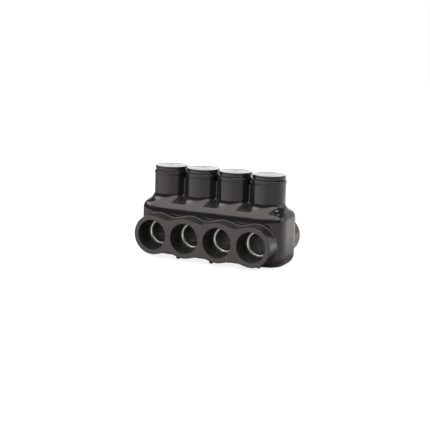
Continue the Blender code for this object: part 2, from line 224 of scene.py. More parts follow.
def grid_quads(rows, columns):
    """Quads of a grid of points, row by row, closed round its columns."""
    column = np.arange(columns)
    row = np.arange(rows - 1)[:, None] * columns
    following = (column + 1) % columns
    return np.stack(
        [row + column, row + following, row + columns + following, row + columns + column], axis=-1
    ).reshape(-1, 4)


def new_mesh(name, points, faces):
    """A mesh from an array of points and a list of faces, with its normals made to point out."""
    mesh = bpy.data.meshes.new(name)
    mesh.from_pydata(points.reshape(-1, 3).tolist(), [], faces)
    shape = bmesh.new()
    shape.from_mesh(mesh)
    bmesh.ops.remove_doubles(shape, verts=shape.verts, dist=WELD)
    bmesh.ops.dissolve_degenerate(shape, edges=shape.edges, dist=WELD)
    bmesh.ops.recalc_face_normals(shape, faces=shape.faces)
    shape.to_mesh(mesh)
    shape.free()
    return mesh


def new_object(name, mesh):
    """An object at the origin that shows the mesh."""
    made = bpy.data.objects.new(name, mesh)
    bpy.context.scene.collection.objects.link(made)
    return made


def joined(name, parts):
    """One mesh from several parts, each an array of points and its quads."""
    points = [part.reshape(-1, 3) for part, _ in parts]
    starts = np.cumsum([0] + [len(part) for part in points])
    faces = np.concatenate([quads + start for start, (_, quads) in zip(starts, parts)])
    return new_mesh(name, np.concatenate(points), faces.tolist())


def rolled(corners, steps=4):
    """A profile of (radius, height, rounding) corners, each rounding replaced by an arc.

    The arc touches both neighbouring sides, at rounding * tan(half the turn) from the corner."""
    points = []
    count = len(corners)
    for i, (radius, height, rounding) in enumerate(corners):
        here = Vector((radius, height))
        if rounding <= 0.0 or i in (0, count - 1):
            points.append(here)
            continue
        before = (Vector(corners[i - 1][:2]) - here).normalized()
        after = (Vector(corners[i + 1][:2]) - here).normalized()
        half = before.angle(after) / 2
        reach = rounding / math.tan(half)
        centre = here + (before + after).normalized() * rounding / math.sin(half)
        start = here + before * reach - centre
        turn = start.angle_signed(here + after * reach - centre)
        for step in range(steps + 1):
            points.append(centre + Matrix.Rotation(-turn * step / steps, 2) @ start)
    return np.array(points)


def round_rows(profile, sides):
    """Grids of the radius and of the distance along the axis, from a profile of both."""
    ones = np.ones(sides)
    return profile[:, 0, None] * ones, profile[:, 1, None] * ones


def carried_round(radius, along, centre, along_y=False):
    """Points and quads of a closed solid, from grids of the radius and of the distance along its axis.

    x = radius * cos(angle), y = radius * sin(angle), z = distance; along Y the last two trade places."""
    angles = np.arange(radius.shape[1]) * 2.0 * np.pi / radius.shape[1]
    across, other = radius * np.cos(angles), radius * np.sin(angles)
    axes = (across, along, other) if along_y else (across, other, along)
    return np.stack(axes, axis=-1) + np.array(centre), grid_quads(*radius.shape)


def mirrored_ends(half):
    """A profile and its mirror image, from one far end to the other."""
    return np.concatenate([half, half[::-1] * (1, -1)])


def at_ports(name, rows, height=0.0, along_y=False):
    """One mesh with the same turned solid at every port."""
    return joined(name, [carried_round(*rows, (x, 0.0, height), along_y) for x in PORT_X])


def rounded_block(low, high, corner, bottom_radius, top_radius, arc_steps):
    """Mesh data of a block with round edges: plan sections whose inset follows a quarter circle.

    A section's corner arcs are centre + radius * (cos, sin), and the corner radius shrinks with the inset."""
    low, high = np.array(low), np.array(high)
    middle, half = (low + high) / 2, (high - low) / 2
    turn = np.linspace(0.0, np.pi / 2, arc_steps + 1)
    inset = np.concatenate([bottom_radius * (1 - np.sin(turn)), top_radius * (1 - np.cos(turn))])
    share = np.concatenate([1 - np.sin(turn), 1 - np.cos(turn)])
    height = np.concatenate(
        [low[2] + bottom_radius * (1 - np.cos(turn)), high[2] - top_radius * (1 - np.sin(turn))]
    )
    radius = np.maximum(corner - np.minimum(inset, corner * share * 0.97), 0.02 * corner)
    around = (np.arange(4)[:, None] * np.pi / 2 + turn).ravel()
    sign_x = np.repeat([1, -1, -1, 1], arc_steps + 1)
    sign_y = np.repeat([1, 1, -1, -1], arc_steps + 1)
    reach = radius[:, None]
    x = middle[0] + sign_x * (half[0] - inset[:, None] - reach) + reach * np.cos(around)
    y = middle[1] + sign_y * (half[1] - inset[:, None] - reach) + reach * np.sin(around)
    z = np.broadcast_to(height[:, None], x.shape)
    rows, columns = x.shape
    faces = grid_quads(rows, columns).tolist()
    faces += [list(range(columns))[::-1], list(range((rows - 1) * columns, rows * columns))]
    return np.stack([x, y, z], axis=-1), faces


def cut(target, mesh, operation="DIFFERENCE"):
    """Apply an exact Boolean of the target with a mesh."""
    tool = new_object(mesh.name, mesh)
    step = target.modifiers.new(tool.name, "BOOLEAN")
    step.operation = operation
    step.solver = "EXACT"
    step.object = tool
    settle_modifiers(target)
    bpy.data.objects.remove(tool)


def settle_modifiers(target):
    """Replace the object's mesh by what its modifiers make of it."""
    evaluated = target.evaluated_get(bpy.context.evaluated_depsgraph_get())
    mesh = bpy.data.meshes.new_from_object(evaluated)
    target.modifiers.clear()
    target.data = mesh


def finish(target, material, degrees):
    """Give the material, and shade smooth but for edges sharper than the angle, with flat faces kept flat."""
    mesh = target.data
    mesh.materials.clear()
    mesh.materials.append(material)
    mesh.shade_smooth()
    mesh.set_sharp_from_angle(angle=math.radians(degrees))
    weighting = target.modifiers.new("flat faces", "WEIGHTED_NORMAL")
    weighting.keep_sharp = True
    weighting.weight = 100
    settle_modifiers(target)
    return target


def read_all(collection, name, width=1, kind=float):
    """A property of every member of a mesh's collection, one row for each."""
    values = np.empty(len(collection) * width, dtype=kind)
    collection.foreach_get(name, values)
    return values.reshape(-1, width) if width > 1 else values


# Moulded cover

def chain_distance(x, z, sizes):
    """Distance, in the plane of the faces, to the row of collars: circles joined by filled valleys.

    The filling lifts the middle of a valley, half a pitch from either axis, by a quarter of its width."""
    half_pitch = (PORT_X[1] - PORT_X[0]) / 2
    bare = math.hypot(half_pitch, sizes.collar_radius - sizes.collar_valley) - sizes.collar_radius
    circles = [np.hypot(x - port, z - sizes.bore_height) - sizes.collar_radius for port in PORT_X]
    return joined_by(circles, 4.0 * bare)


def joined_by(distances, width):
    """The smooth minimum of several distances, one after another."""
    total = distances[0]
    for distance in distances[1:]:
        total = smooth_min(total, distance, width)
    return total


def skin_distance(x, y, z, sizes):
    """Distance to the outside of the cover, with collars and chimneys that run on past their ends.

    The body is a smooth maximum of its six planes, and the collars and chimneys join it by smooth minima."""
    half_length = COVER_HIGH[0]
    half_depth = BLOCK_HIGH[1] + sizes.wall
    top = BLOCK_HIGH[2] + sizes.roof
    # The shoulder tightens towards the two ends
    end = smooth_step(np.abs(x), half_length - 20.0 * mm, half_length - 4.0 * mm)
    shoulder = sizes.top_radius + (sizes.end_radius - sizes.top_radius) * end
    body = smooth_max(np.abs(x) - half_length, np.abs(y) - half_depth, blend_width(sizes.corner_radius))
    body = smooth_max(body, z - top, blend_width(shoulder))
    body = smooth_max(body, COVER_LOW[2] - z, blend_width(sizes.bottom_radius))
    # The collars flare only where they leave the body
    out = smooth_step(np.abs(y), half_depth - 8.0 * mm, half_depth - 2.0 * mm)
    fillet = blend_width(sizes.collar_fillet) * np.maximum(out, 0.001)
    total = smooth_min(body, chain_distance(x, z, sizes), fillet)
    # The rims stand out a little, and the fill between the chimneys begins below them
    flare = sizes.rim_flare * smooth_step(z, RIM_Z - 3.8 * mm, RIM_Z - 2.4 * mm)
    radius = sizes.chimney_radius + flare
    between = PORT_X[1] - PORT_X[0] - 2.0 * (sizes.chimney_radius + sizes.rim_flare)
    between = between + sizes.web * smooth_step(z, RIM_Z - 2.6 * mm, RIM_Z - 7.0 * mm)
    chimneys = joined_by([np.hypot(x - port, y) - radius for port in PORT_X], between)
    chimneys = np.maximum(chimneys, top - 15.0 * mm - z)
    return smooth_min(total, chimneys, blend_width(sizes.chimney_fillet))


def slope(points, distance):
    """Gradient of the distance at each point, by central differences."""
    reach = 0.01 * mm
    made = np.empty_like(points)
    for axis in range(3):
        step = np.zeros(3)
        step[axis] = reach
        made[:, axis] = (distance(*(points + step).T) - distance(*(points - step).T)) / (2.0 * reach)
    return made


def onto_surface(points, distance, free, rounds=5, gentlest=0.1):
    """Move each point along the distance's slope until the distance is nought, in its free directions.

    The steepness is kept above the gentlest, so that no point is thrown far off where the slope vanishes."""
    for _ in range(rounds):
        along = slope(points, distance) * free
        steepness = np.maximum((along * along).sum(axis=1, keepdims=True), gentlest)
        points = points - distance(*points.T)[:, None] * along / steepness
    return points


def surface_net(distance, origin, step, cells):
    """Points, quads and cell numbers of a surface net.

    Each grid cell that the surface passes through gets one point, the mean of where the surface crosses the
    cell's edges, and each grid edge that it crosses gets a quad through the four cells round that edge."""
    nodes = [origin[axis] + step[axis] * np.arange(cells[axis] + 1) for axis in range(3)]
    field = distance(*np.meshgrid(*nodes, indexing="ij"))
    inside = field < 0.0
    corners = np.array([(i, j, k) for i in (0, 1) for j in (0, 1) for k in (0, 1)])
    filled = np.zeros(cells, dtype=int)
    for i, j, k in corners:
        filled += inside[i:i + cells[0], j:j + cells[1], k:k + cells[2]]
    crossed = (filled > 0) & (filled < 8)
    cell = np.argwhere(crossed)
    number = np.full(cells, -1)
    number[crossed] = np.arange(len(cell))
    total = np.zeros((len(cell), 3))
    count = np.zeros((len(cell), 1))
    for start in corners:
        for axis in np.flatnonzero(start == 0):
            end = start.copy()
            end[axis] = 1
            near = field[tuple((cell + start).T)]
            far = field[tuple((cell + end).T)]
            change = (near < 0.0) != (far < 0.0)
            share = np.where(change, near / np.where(change, near - far, 1.0), 0.0)[:, None]
            total += change[:, None] * (start + share * (end - start))
            count += change[:, None]
    points = origin + step * (cell + total / count)
    quads = []
    for axis in range(3):
        first, second = (axis + 1) % 3, (axis + 2) % 3
        change = np.diff(inside.astype(int), axis=axis)
        edge = np.argwhere(change != 0)
        edge = edge[(edge[:, first] > 0) & (edge[:, first] < cells[first])
                    & (edge[:, second] > 0) & (edge[:, second] < cells[second])]
        ring = []
        for back_first, back_second in ((1, 1), (0, 1), (0, 0), (1, 0)):
            around = edge.copy()
            around[:, first] -= back_first
            around[:, second] -= back_second
            ring.append(number[tuple(around.T)])
        quad = np.stack(ring, axis=1)
        outward = change[tuple(edge.T)] < 0
        quad[~outward] = quad[~outward][:, ::-1]
        quads.append(quad)
    return points, np.concatenate(quads), cell


def evened(points, quads, distance, held, free, rounds):
    """Draw each point that isn't held halfway to the mean of its neighbours and back onto the surface."""
    pairs = np.concatenate([quads[:, [0, 1]], quads[:, [1, 2]], quads[:, [2, 3]], quads[:, [3, 0]]])
    ends = np.concatenate([pairs, pairs[:, ::-1]])
    degree = np.bincount(ends[:, 0], minlength=len(points))[:, None]
    for _ in range(rounds):
        sums = [np.bincount(ends[:, 0], column, minlength=len(points)) for column in points[ends[:, 1]].T]
        mean = np.stack(sums, axis=1) / degree
        points = np.where(held[:, None], points, points + 0.5 * (mean - points))
        points = onto_surface(points, distance, free)
    return points


def rolled_end(points, loop, outward, lift, edge, first_number, steps=4):
    """Close an open loop: rings that turn its edge over by a quarter circle, and a flat face.

    Ring k lies edge * (1 - cos turn) inside the loop and edge * sin turn above it."""
    turn = np.linspace(0.0, np.pi / 2, steps + 1)[1:, None, None]
    rings = points[loop] - edge * (1 - np.cos(turn)) * outward[loop] + edge * np.sin(turn) * lift
    count = len(loop)
    numbers = np.concatenate([loop, first_number + np.arange(steps * count)])
    faces = numbers[grid_quads(steps + 1, count)].tolist()
    faces.append(numbers[-count:].tolist())
    return rings.reshape(-1, 3), faces


def cover_skin(sizes):
    """The outside of the cover as one closed mesh: a surface net, its open ends rolled over and closed."""
    def distance(x, y, z):
        return skin_distance(x, y, z, sizes)

    open_y = FACE_Y - sizes.collar_edge
    open_z = RIM_Z - sizes.rim_edge
    cells = np.array([
        round(2 * (COVER_HIGH[0] + sizes.net_step) / sizes.net_step),
        round(2 * open_y / sizes.net_step) + 1,
        math.ceil((open_z + 1.5 * sizes.net_step) / sizes.net_step),
    ])
    step = np.array([sizes.net_step, 2 * open_y / (cells[1] - 1), sizes.net_step])
    origin = np.array([
        -cells[0] * step[0] / 2,
        -open_y - step[1] / 2,
        open_z + step[2] / 2 - cells[2] * step[2],
    ])
    points, quads, cell = surface_net(distance, origin, step, cells)
    rear, front, top = cell[:, 1] == cells[1] - 1, cell[:, 1] == 0, cell[:, 2] == cells[2] - 1
    held = rear | front | top
    free = np.ones_like(points)
    free[rear | front, 1] = 0.0
    free[top, 2] = 0.0
    points[rear, 1], points[front, 1], points[top, 2] = open_y, -open_y, open_z
    points = onto_surface(points, distance, free)
    points = evened(points, quads, distance, held, free, 3)
    outward = slope(points, distance) * free
    outward /= np.linalg.norm(outward, axis=1, keepdims=True)

    def in_order(side, x, other, axis):
        """A side's points in order round the place with this x and this value on the other axis."""
        loop = np.flatnonzero(side)
        return loop[np.argsort(np.arctan2(points[loop, axis] - other, points[loop, 0] - x))]

    ends = []
    for side, lift in ((rear, 1.0), (front, -1.0)):
        ends.append((in_order(side, 0.0, sizes.bore_height, 2), (0.0, lift, 0.0), sizes.collar_edge))
    for port in PORT_X:
        rim = top & (np.abs(points[:, 0] - port) < 1.05 * sizes.chimney_radius)
        ends.append((in_order(rim, port, 0.0, 1), (0.0, 0.0, 1.0), sizes.rim_edge))
    faces = quads.tolist()
    pieces = [points]
    total = len(points)
    for loop, lift, edge in ends:
        rings, more = rolled_end(points, loop, outward, lift, edge, total)
        pieces.append(rings)
        faces += more
        total += len(rings)
    return new_mesh("cover", np.concatenate(pieces), faces)


def rounded_mouth(radius, end, edge, degrees):
    """Profile of a mouth's rounding: radius + edge * (1 - cos turn), and end - edge * (1 - sin turn).

    A hair more lifts it off the face that it cuts."""
    turn = np.radians(np.linspace(*degrees, 6))
    hair = 0.02 * mm
    along = end - edge * (1 - np.sin(turn)) + hair * np.sin(turn)
    return np.stack([radius + edge * (1 - np.cos(turn)), along], axis=1)


def port_profile(sizes):
    """The outline of what a port takes out of the cover, from one far end to the other."""
    lip_y = BLOCK_HIGH[1] + sizes.lip_thickness
    beyond = FACE_Y + PAST
    mouth = rounded_mouth(sizes.mouth_radius, FACE_Y, sizes.mouth_edge, (78.0, 0.0))
    inner = rolled([
        (sizes.mouth_radius, FACE_Y - sizes.mouth_edge, 0.0),
        (sizes.throat_radius, lip_y, 0.5 * mm),
        (sizes.lip_radius, lip_y, 0.3 * mm),
        (sizes.lip_radius, 0.0, 0.0),
    ])
    start = [(0.0, beyond), (mouth[0, 0] + 0.2 * mm, beyond)]
    return mirrored_ends(np.concatenate([start, mouth, inner[1:-1]]))


def shaft_profile(sizes):
    """The outline of what a chimney's shaft takes out of the cover, from the block's roof up."""
    rim = rounded_mouth(sizes.shaft_radius, RIM_Z, 0.5 * mm, (0.0, 78.0))
    foot = BLOCK_HIGH[2] - 0.5 * mm
    above = RIM_Z + PAST
    return np.concatenate([
        [(0.0, foot), (sizes.shaft_radius, foot)], rim, [(rim[-1, 0] + 0.2 * mm, above), (0.0, above)]
    ])


def lug(centre, across, out, along, size, power=0.45, narrowing=0.35):
    """A small rounded lug: x, y, z = half sizes * powers of cosines and sines of two angles."""
    rings, sides = 13, 24
    u = np.linspace(-np.pi / 2, np.pi / 2, rings)[:, None]
    v = np.arange(sides) * 2.0 * np.pi / sides

    def squarish(value):
        return np.sign(value) * np.abs(value) ** power

    a = squarish(np.cos(u)) * squarish(np.cos(v)) * size[0] / 2
    b = squarish(np.cos(u)) * squarish(np.sin(v)) * size[1] / 2
    c = np.broadcast_to(squarish(np.sin(u)), a.shape) * size[2] / 2
    taper = 1.0 - narrowing * (b / (size[1] / 2) + 1.0) / 2.0
    points = centre + (a * taper)[..., None] * across + b[..., None] * out + c[..., None] * along
    return points, grid_quads(rings, sides)


def nubs(sizes):
    """The four moulding nubs under the front collars, as one mesh of separate lugs."""
    # Port, angle from straight down, height below the collar, width
    places = (
        (1, -19.0, 2.0 * mm, 4.2 * mm),
        (2, -18.0, 2.0 * mm, 4.2 * mm),
        (2, 36.0, 1.9 * mm, 3.0 * mm),
        (3, 24.0, 1.2 * mm, 3.0 * mm),
    )
    sunk = 1.5 * mm
    behind_face = 2.8 * mm
    thickness = 4.0 * mm
    parts = []
    for port, degrees, height, width in places:
        turn = math.radians(degrees)
        out = np.array((math.sin(turn), 0.0, -math.cos(turn)))
        across = np.array((math.cos(turn), 0.0, math.sin(turn)))
        axis = np.array((PORT_X[port], -FACE_Y + behind_face, sizes.bore_height))
        centre = axis + out * (sizes.collar_radius + (height - sunk) / 2)
        size = (width, height + sunk, thickness)
        parts.append(lug(centre, across, out, np.array((0.0, 1.0, 0.0)), size))
    return joined("nubs", parts)


def true_normals(target, distance):
    """Take the shading normals of the skin from the distance's slope, wherever a corner lies on the skin."""
    mesh = target.data
    normals = read_all(mesh.corner_normals, "vector", 3)
    places = read_all(mesh.vertices, "co", 3)
    vertex = read_all(mesh.loops, "vertex_index", kind=int)
    sides = read_all(mesh.polygons, "loop_total", kind=int)
    flat = np.repeat(read_all(mesh.polygons, "normal", 3), sides, axis=0)
    off = distance(*places.T)
    away = slope(places, distance)
    away /= np.linalg.norm(away, axis=1, keepdims=True)
    touching, alike = 0.01 * mm, 0.9
    on_skin = (np.abs(off[vertex]) < touching) & ((flat * away[vertex]).sum(axis=1) > alike)
    normals = np.where(on_skin[:, None], away[vertex], normals)
    mesh.normals_split_custom_set(normals.tolist())


def make_cover(sizes, material):
    """The moulded cover: its outside, less the ports, the chimneys' shafts and the pocket of the block."""
    cover = new_object("cover", cover_skin(sizes))
    cut(cover, nubs(sizes), "UNION")
    gap = 0.3 * mm
    pocket = rounded_block(
        np.array(BLOCK_LOW) - gap, np.array(BLOCK_HIGH) + gap, 6.3 * mm, 4.8 * mm, 6.3 * mm, ARC_STEPS
    )
    cut(cover, new_mesh("pocket", *pocket))
    cut(cover, at_ports("ports", round_rows(port_profile(sizes), CUT_SIDES), sizes.bore_height, along_y=True))
    cut(cover, at_ports("shafts", round_rows(shaft_profile(sizes), CUT_SIDES)))
    finish(cover, material, 35.0)
    true_normals(cover, lambda x, y, z: skin_distance(x, y, z, sizes))
    return cover


# Block, screws and plugs

def thread_wave(share):
    """Height of a thread, from 0 at its root to 1 at its crest, over one pitch."""
    root, flank = 0.08, 0.8
    tooth = np.abs(2.0 * (share % 1.0) - 1.0)
    return np.clip((tooth - root) / flank, 0.0, 1.0)


def stacked(rows):
    """Grids of radius and height set on top of each other."""
    return [np.concatenate(grids) for grids in zip(*rows)]


def upright(name, number, rows):
    """An object from grids of radius and height round the axis of a numbered port's chimney."""
    return new_object(name, joined(name, [carried_round(*rows, (PORT_X[number - 1], 0.0, 0.0))]))


def threaded(core, depth, pitch, low, high, sides, rows_per_pitch=10):
    """Radius and height grids of a thread: the radius is core + depth * wave(height / pitch - turns)."""
    rows = max(2, round((high - low) / pitch * rows_per_pitch))
    height = np.linspace(low, high, rows)[:, None]
    turns = np.arange(sides) / sides
    radius = core + depth * thread_wave(height / pitch - turns)
    return radius, np.broadcast_to(height, radius.shape)


def tapped_cutters(sizes, bore_height):
    """What the taps take out of the block: threaded rods that widen into a countersink at the top."""
    low, high = bore_height, BLOCK_HIGH[2] - 1.2 * mm
    thread = threaded(sizes.thread_crest, sizes.thread_depth, sizes.thread_pitch, low, high, TAP_SIDES)
    end = sizes.thread_crest + sizes.thread_depth
    mouth = end + 1.1 * mm
    start = np.array([(0.0, low - 0.1 * mm), (8.0 * mm, low - 0.1 * mm)])
    sink = np.array([
        (end, high + 0.1 * mm), (mouth, BLOCK_HIGH[2]), (mouth, high + 6 * mm), (0.0, high + 6 * mm)
    ])
    return at_ports("taps", stacked([round_rows(start, TAP_SIDES), thread, round_rows(sink, TAP_SIDES)]))


def make_block(sizes, bore_height, material):
    """The aluminium block: rounded bar, four chamfered bores through it and four tapped holes from above."""
    bar = rounded_block(
        BLOCK_LOW, BLOCK_HIGH, sizes.corner_radius, sizes.bottom_radius, sizes.top_radius, ARC_STEPS
    )
    block = new_object("block", new_mesh("block", *bar))
    mouth = sizes.bore_radius + sizes.chamfer_width
    face = BLOCK_HIGH[1]
    lean = sizes.chamfer_width / sizes.chamfer_depth * 0.3 * mm
    half = np.array([
        (0.0, face + PAST),
        (mouth + lean, face + PAST),
        (mouth + lean, face + 0.3 * mm),
        (mouth, face),
        (sizes.bore_radius + 0.12 * mm, face - sizes.chamfer_depth + 0.1 * mm),
        (sizes.bore_radius, face - sizes.chamfer_depth - 0.05 * mm),
    ])
    cut(block, at_ports("bores", round_rows(mirrored_ends(half), CUT_SIDES), bore_height, along_y=True))
    cut(block, tapped_cutters(sizes, bore_height))
    return finish(block, material, 32.0)


def make_screw(number, sizes, thread, material):
    """A set screw: cone point, thread, chamfered top and hex socket, as one grid of rings round its axis.

    A ring of the socket has the radius apothem / cos(angle from the nearest flat's middle)."""
    low, high = SCREW_BOXES[number - 1]
    foot, top = low[2], high[2]
    root = (high[0] - low[0]) / 2 - thread.thread_depth
    sides = sizes.sides
    point = np.array([
        (0.0, foot), (sizes.point_radius * 0.6, foot + 0.15 * mm), (sizes.point_radius, foot + 0.5 * mm),
        (root, foot + 0.5 * mm + sizes.point_length),
    ])
    thread_low = foot + 0.7 * mm + sizes.point_length
    thread_high = top - 1.0 * mm
    radius, height = threaded(root, thread.thread_depth, thread.thread_pitch, thread_low, thread_high, sides)
    lead = np.clip((height - thread_low) / thread.thread_pitch, 0.0, 1.0)
    fade = np.clip((thread_high - height) / (0.7 * thread.thread_pitch), 0.0, 1.0)
    collar = rolled([
        (root, top - 0.8 * mm, 0.0), (root, top, 0.35 * mm),
        (sizes.socket_flats / math.sqrt(3) + 0.7 * mm, top, 0.0),
    ])
    apothem = sizes.socket_flats / 2
    angles = np.arange(sides) * 2.0 * np.pi / sides
    hexagon = apothem / np.cos((angles + np.pi / 6) % (np.pi / 3) - np.pi / 6)
    floor = top - sizes.socket_depth
    depth = np.array([0.9 * mm, 0.45 * sizes.socket_depth, sizes.socket_depth - 0.3 * mm])[:, None]
    rows = stacked([
        round_rows(point, sides),
        (root + (radius - root) * np.minimum(lead, fade), height),
        round_rows(collar, sides),
        (np.maximum(hexagon, apothem * 1.09)[None], np.full((1, sides), top - 0.45 * mm)),
        (np.broadcast_to(hexagon, (3, sides)), np.broadcast_to(top - depth, (3, sides))),
        (hexagon[None] * 0.94, np.full((1, sides), floor)),
        round_rows(np.array([(apothem * 0.8, floor - 0.25 * mm), (0.0, floor - 1.9 * mm)]), sides),
    ])
    return finish(upright(f"screw_{number}", number, rows), material, 38.0)


def make_plug(number, sizes, material):
    """A push-in plug, turned from one profile: dished disc, neck, beaded skirt and hollow underside."""
    low, high = PLUG_BOXES[number - 1]
    foot, top = low[2], high[2]
    disc = (high[0] - low[0]) / 2 + 0.15 * mm
    disc_bottom = top - sizes.disc_thickness
    neck_bottom = disc_bottom - sizes.neck_height
    skirt = sizes.skirt_radius - sizes.bead
    inner = skirt - sizes.skirt_wall
    bead_z = RIM_Z - 3.0 * mm
    dish = top - 0.12 * mm
    line = dish + 0.06 * mm
    soft = 0.08 * mm
    rings = []
    for start in (4.6, 8.6):
        rings += [
            (start * mm, dish, soft), ((start + 0.2) * mm, line, soft),
            ((start + 0.7) * mm, line, soft), ((start + 0.9) * mm, dish, soft),
        ]
    profile = rolled([
        (0.0, dish - 0.1 * mm, 0.0),
        (1.1 * mm, dish - 0.1 * mm, 0.1 * mm),
        (1.4 * mm, dish, 0.1 * mm),
        *rings,
        (11.6 * mm, dish, 0.25 * mm),
        (12.0 * mm, top, 0.25 * mm),
        (disc, top, 0.4 * mm),
        (disc, disc_bottom, 0.25 * mm),
        (sizes.neck_radius, disc_bottom, 0.3 * mm),
        *[(sizes.neck_radius + out * mm, disc_bottom - down * mm, 0.05 * mm)
          for out, down in ((0.0, 1.0), (0.1, 1.15), (0.1, 1.35), (0.0, 1.5))],
        (sizes.neck_radius, neck_bottom, 0.25 * mm),
        (skirt, neck_bottom, 0.2 * mm),
        (skirt, bead_z + 0.9 * mm, 0.5 * mm),
        (sizes.skirt_radius, bead_z, 0.5 * mm),
        (skirt, bead_z - 0.9 * mm, 0.5 * mm),
        (skirt, foot + 0.9 * mm, 0.3 * mm),
        (skirt - 0.45 * mm, foot, 0.3 * mm),
        (inner + 0.2 * mm, foot, 0.2 * mm),
        (inner, foot + 0.6 * mm, 0.2 * mm),
        (inner, top - sizes.top_wall, 0.8 * mm),
        (0.0, top - sizes.top_wall, 0.0),
    ])
    return finish(upright(f"plug_{number}", number, round_rows(profile, sizes.sides)), material, 50.0)


# Shader building

class Tree:
    """A node tree with short calls to add nodes and link them."""

    def __init__(self, tree):
        self.tree = tree

    def put(self, socket, value):
        """Link a socket to an output, or set its value."""
        if isinstance(value, bpy.types.NodeSocket):
            self.tree.links.new(value, socket)
        else:
            socket.default_value = (*value, 1.0) if socket.type == "RGBA" else value

    def fill(self, inputs, **values):
        """Give values to inputs by name, with _ for a space."""
        for name, value in values.items():
            self.put(inputs[name.replace("_", " ")], value)

    def outputs(self, kind, **values):
        """Add a node and give its outputs: small names are settings, Capital_Names and i0, i1 ... inputs."""
        made = self.tree.nodes.new(kind)
        for name, value in values.items():
            if name[0] == "i" and name[1:].isdigit():
                self.put(made.inputs[int(name[1:])], value)
            elif name[0].isupper():
                self.fill(made.inputs, **{name: value})
            else:
                setattr(made, name, value)
        return made.outputs

    def node(self, kind, output=0, **values):
        """Add a node and give one of its outputs."""
        return self.outputs(kind, **values)[output]

    def math(self, operation, a, b=0.0, c=0.0):
        """A Math node."""
        return self.node("ShaderNodeMath", operation=operation, i0=a, i1=b, i2=c)

    def times(self, product, *factors):
        """The product of two or more numbers."""
        for factor in factors:
            product = self.math("MULTIPLY", product, factor)
        return product

    def plus(self, start, share, amount):
        """The start, plus a share of the amount."""
        return self.math("MULTIPLY_ADD", share, amount, start)

    def distance(self, a, b):
        """The square root of a squared plus b squared."""
        return self.math("SQRT", self.plus(self.times(b, b), a, a))

    def step(self, value, low, high):
        """0 below low, 1 above high, and smooth between them."""
        return self.node(
            "ShaderNodeMapRange", interpolation_type="SMOOTHSTEP", Value=value, From_Min=low, From_Max=high
        )

    def mix(self, share, a, b):
        """Blend two numbers."""
        return self.node("ShaderNodeMix", data_type="FLOAT", i0=share, i2=a, i3=b)

    def mix_colour(self, share, a, b):
        """Blend two colours."""
        return self.node("ShaderNodeMix", 2, data_type="RGBA", i0=share, i6=a, i7=b)

    def noise(self, place, scale, detail=2.0, roughness=0.5):
        """A noise texture's value, with its scale in cells for each metre."""
        return self.node("ShaderNodeTexNoise", Vector=place, Scale=scale, Detail=detail, Roughness=roughness)


def new_group(name, vectors, numbers, outputs):
    """A shader node group with named sockets: itself, its tree, its inputs and its outputs."""
    group = bpy.data.node_groups.new(name, "ShaderNodeTree")
    for socket in vectors:
        group.interface.new_socket(name=socket, in_out="INPUT", socket_type="NodeSocketVector")
    for socket, default in numbers.items():
        made = group.interface.new_socket(name=socket, in_out="INPUT", socket_type="NodeSocketFloat")
        made.default_value = default
    for socket in outputs:
        group.interface.new_socket(name=socket, in_out="OUTPUT", socket_type="NodeSocketFloat")
    given, out = group.nodes.new("NodeGroupInput"), group.nodes.new("NodeGroupOutput")
    return group, Tree(group), given.outputs, out.inputs


def moulded_skin_group(name):
    """Height of a moulded or dipped skin: slow waves, fine orange peel, and a mask of dull specks."""
    group, tree, given, out = new_group(
        name, ["Place"], {"Wave Height": 0.00006, "Peel Height": 0.000004}, ["Height", "Specks"]
    )
    place = given["Place"]
    waves = tree.times(tree.noise(place, 75.0, 1.0), given["Wave Height"])
    height = tree.plus(waves, tree.noise(place, 900.0, 2.0), given["Peel Height"])
    tree.fill(out, Height=height, Specks=tree.step(tree.noise(place, 2600.0, 1.0), 0.66, 0.74))
    return group


def turning_group(name):
    """Fine rings round an axis, uneven in depth, as a tool or a turned mould leaves them."""
    numbers = {"Radius": 0.0, "Spacing": 0.0004}
    group, tree, given, out = new_group(name, ["Place"], numbers, ["Height", "Tone"])
    radius = tree.math("ADD", given["Radius"], tree.times(tree.noise(given["Place"], 120.0), 0.0001))
    phase = tree.times(tree.math("DIVIDE", radius, given["Spacing"]), 2.0 * math.pi)
    wave = tree.plus(0.5, tree.math("SINE", phase), 0.5)
    line = tree.node("ShaderNodeCombineXYZ", i0=tree.times(given["Radius"], 3000.0))
    uneven = tree.noise(line, 1.0, 3.0)
    tree.fill(out, Height=tree.times(wave, uneven), Tone=uneven)
    return group


def handling_group(name):
    """Masks of light handling: soft smears, and dust that has settled on surfaces that face up."""
    group, tree, given, out = new_group(name, ["Place", "Normal"], {}, ["Smears", "Dust"])
    smears = tree.step(tree.noise(given["Place"], 55.0, 4.0, 0.65), 0.5, 0.72)
    up = tree.node("ShaderNodeSeparateXYZ", 2, i0=given["Normal"])
    grains = tree.step(tree.noise(given["Place"], 1500.0, 2.0), 0.62, 0.7)
    tree.fill(out, Smears=smears, Dust=tree.times(grains, tree.step(up, 0.5, 0.95)))
    return group


EFFECTS = {
    "Moulded Skin": moulded_skin_group,
    "Turning Rings": turning_group,
    "Handling Marks": handling_group,
}


def effect(tree, name, **values):
    """Place a shared group's node, the group built at its first use, and give its outputs."""
    group = bpy.data.node_groups.get(name) or EFFECTS[name](name)
    return tree.outputs("ShaderNodeGroup", node_tree=group, **values)


def new_material(name, roughness, metallic=0.0, ior=1.5):
    """A Principled material, its tree, its shader's inputs and the object coordinates."""
    material = bpy.data.materials.new(name)
    material.use_nodes = True
    tree = Tree(material.node_tree)
    shader = material.node_tree.nodes["Principled BSDF"].inputs
    tree.fill(shader, Roughness=roughness, Metallic=metallic, IOR=ior)
    return material, tree, shader, tree.node("ShaderNodeTexCoord", "Object")


def shade(tone, factor):
    """A colour made lighter or darker by a factor."""
    return [value * factor for value in tone]


def bump(tree, height):
    """The normal of a surface raised by a height in metres."""
    return tree.node("ShaderNodeBump", "Normal", Distance=1.0, Height=height)


